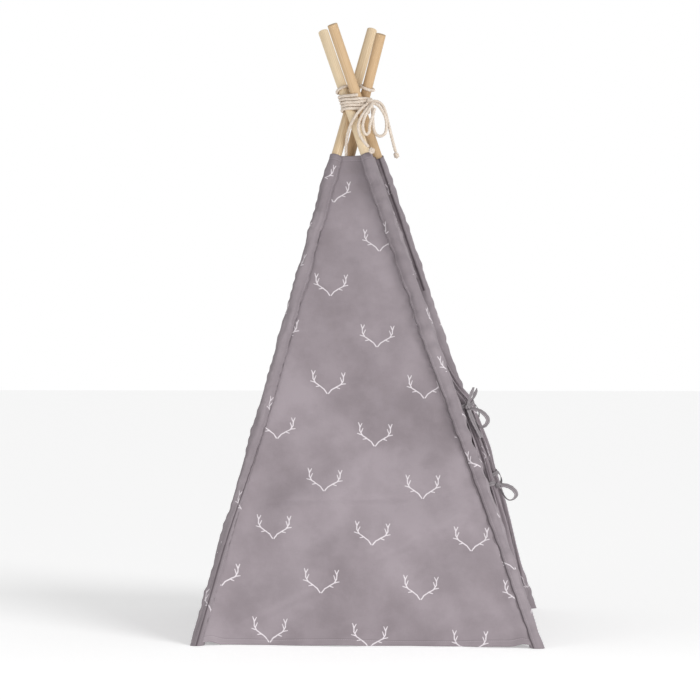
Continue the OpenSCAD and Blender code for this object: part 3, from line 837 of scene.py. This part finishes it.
tieLook = dict(turn=40, knotSize=0.0050, knotWidth=0.0078, knotThick=0.0034, endWidth=0.0100,
               endThick=0.0016, endTop=0.050, endLean=15)
for k, knot in enumerate(tieKnots):
    side = "left" if k % 2 == 0 else "right"
    level = "upper" if k < 2 else "lower"
    i = 0 if side == "left" else 1
    body = "door_" + side
    tag = level.capitalize() + side.capitalize()
    mid = flapMid(i, tieHeights[k // 2], pinchR, tieLook["turn"])
    e1 = flapDir(i, tieLook["turn"])
    e2 = np.cross(axes[i], e1)
    th = np.linspace(0, 2 * math.pi, 97)
    rad = pinchR + 0.0013 + 0.0002 * np.cos(9 * th)
    ring = mid + rad[:, None] * (np.cos(th)[:, None] * e1 + np.sin(th)[:, None] * e2) \
        + axes[i] * (0.0012 * np.sin(th + 1))[:, None]
    obj = stripMesh("tieBand" + tag, ring, ribbonW, 0.0012, axes[i], [0, 0], body,
                    ["tie_band_%s_%s" % (level, side)])
    w = np.linspace(0, 2 * math.pi, 60, endpoint=False)
    p = np.column_stack([(2 + np.cos(3 * w)) * np.cos(2 * w), (2 + np.cos(3 * w)) * np.sin(2 * w),
                         1.2 * np.sin(3 * w)]) * tieLook["knotSize"] / 3
    turn = np.array(Matrix.Rotation(math.radians(70), 3, "Y") @ Matrix.Rotation(0.4 + k, 3, "Z"))
    path = smoothPath(p @ turn.T + knot, 0.0012, True)
    obj = stripMesh("tieKnot" + tag, path, tieLook["knotWidth"], tieLook["knotThick"], (1, 0, 0),
                    [10, 60, 100, 60, 10], body, ["tie_knot_%s_%s" % (level, side)])
    if k < 2:
        tilt = math.radians(tieLook["endLean"])
        up = np.array([0, -math.sin(tilt), math.cos(tilt)]) if side == "left" else \
            np.array([0.683, -0.259, 0.683])
        path = np.array([knot + up * h + [0.0015 * math.sin(h * 60), 0.0012 * math.sin(h * 90), 0]
                         for h in np.linspace(0.002, tieLook["endTop"], 26)])
        obj = stripMesh("tieEnd" + tag, path, tieLook["endWidth"], tieLook["endThick"],
                        (0, 1, 0.3), [50, 66, 44, 72], body, flare=0.25)
print("stage: flaps and ties")

lashLook = dict(turns=5, steps=120, start=-0.0066, pitch=0.00784, reach=0.0135, begin=200)
foldLean = math.radians(7.2)  # lean of the poles when folded


# Curve that hugs the four poles at a height, at rest and folded, with its rope outside them
def hugging(phi, dz, reach):
    n = np.array([math.cos(phi), math.sin(phi), 0])
    best, at = -1, None
    for q in range(4):
        lean = math.acos(axes[q][2])
        for ang in (lean, (lean + foldLean) / 2, foldLean):
            c = waists[q] - flatDirs[q] * dz * math.tan(ang) - crossMid
            c = np.array([c[0], c[1], 0])
            if c @ n > best:
                best, at = c @ n, c
    return crossMid + at + reach * n + np.array([0, 0, dz])


turnPts = []
for m in range(lashLook["turns"] * lashLook["steps"] + 1):
    around = m / lashLook["steps"]
    phi = math.radians(lashLook["begin"]) + 2 * math.pi * around
    dz = lashLook["start"] + lashLook["pitch"] * (around - 0.5) + 0.0005 * math.sin(phi * 1.7)
    turnPts.append(hugging(phi, dz, lashLook["reach"] + ropeD / 2))
turnPath = resample(np.array(turnPts), 0.0018)
kernel = np.ones(7) / 7
padded = np.pad(turnPath, ((3, 3), (0, 0)), "edge")
turnPath = np.column_stack([np.convolve(padded[:, q], kernel, "valid") for q in range(3)])
obj = ropeMesh("lashingTurns", turnPath, ropeD * 0.97, "lashing", ["lashing_turns"], 16)
obj = ropeKnot("lashingKnot", (-0.032, 0.010, 1.286), 0.0066, 0.0074, (20, 75), "lashing",
               ["lashing_knot"])
for i, dz, name in ((0, 0.046, "hitchFrontLeft"), (3, 0.050, "hitchBackRight")):
    s = (crossH + dz) / axes[i][2]
    e1 = unit(flatDirs[i] - (flatDirs[i] @ axes[i]) * axes[i])
    e2 = np.cross(axes[i], e1)
    w = np.linspace(0, 2 * math.pi, 90, endpoint=False)
    rad = poleR + 0.0002 + ropeD / 2
    ring = feet[i] + axes[i] * s + rad * (np.cos(w)[:, None] * e1 + np.sin(w)[:, None] * e2) \
        + axes[i] * (0.0012 * np.sin(w + 0.7))[:, None]
    obj = ropeMesh(name, smoothPath(ring, 0.0018, True), ropeD * 0.96, poleNames[i] + "_leg",
                   ["hitch_front_left" if i == 0 else "hitch_back_right"], 16, True)
print("stage: lashing")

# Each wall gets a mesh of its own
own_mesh(wallLeft)
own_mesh(wallRight)
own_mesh(wallBack)
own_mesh(wallFront)

floorMat = bpy.data.materials.new("floorPaint")
floorMat.use_nodes = True
tree = floorMat.node_tree
tree.nodes.clear()
where = addNode(tree, "ShaderNodeTexCoord").outputs["Object"]
grainy = noiseNode(tree, where, 35.0, 4.0)
paint = mixColor(tree, grainy, (0.90, 0.90, 0.90, 1), (0.94, 0.94, 0.94, 1))
skin = addNode(tree, "ShaderNodeBsdfPrincipled", None, **{"Base Color": paint, "Roughness": 0.9,
               "Emission Color": (1, 1, 1, 1), "Emission Strength": 0.32})
skin.inputs["Specular IOR Level"].default_value = 0.1
tree.links.new(skin.outputs[0], tree.nodes.new("ShaderNodeOutputMaterial").inputs[0])
floorMesh = bpy.data.meshes.new("floor")
bm = bmesh.new()
bmesh.ops.create_grid(bm, x_segments=1, y_segments=1, size=30)
bm.to_mesh(floorMesh)
bm.free()
floorMesh.materials.append(floorMat)
floor = bpy.data.objects.new("floor", floorMesh)
bpy.context.scene.collection.objects.link(floor)

world = bpy.data.worlds.new("studio")
bpy.context.scene.world = world
world.use_nodes = True
tree = world.node_tree
sky = tree.nodes["Background"]
sky.inputs[0].default_value = (1, 1, 1, 1)
seen = addNode(tree, "ShaderNodeLightPath").outputs["Is Camera Ray"]
tree.links.new(ramp(tree, seen, 0.0, 1.0, 0.46, 1.0), sky.inputs[1])


def addLamp(name, kind, at, aim, energy, size):
    data = bpy.data.lights.new(name, kind)
    data.energy = energy
    if kind == "SUN":
        data.angle = size
    else:
        data.size = size
    lamp = bpy.data.objects.new(name, data)
    lamp.location = at
    lamp.rotation_mode = "QUATERNION"
    lamp.rotation_quaternion = (Vector(aim) - Vector(at)).to_track_quat("-Z", "Y")
    bpy.context.scene.collection.objects.link(lamp)


addLamp("key", "SUN", (-2.5, -3.3, 3.0), (0, 0, 0.5), 1.25, 0.45)
addLamp("low", "AREA", (-2.2, -1.0, 0.30), (-0.2, 0, 0.24), 15, 0.8)
addLamp("fill", "AREA", (-2.4, 2.1, 0.7), (-0.1, 0.1, 0.4), 12, 1.2)
print("stage: floor and light")
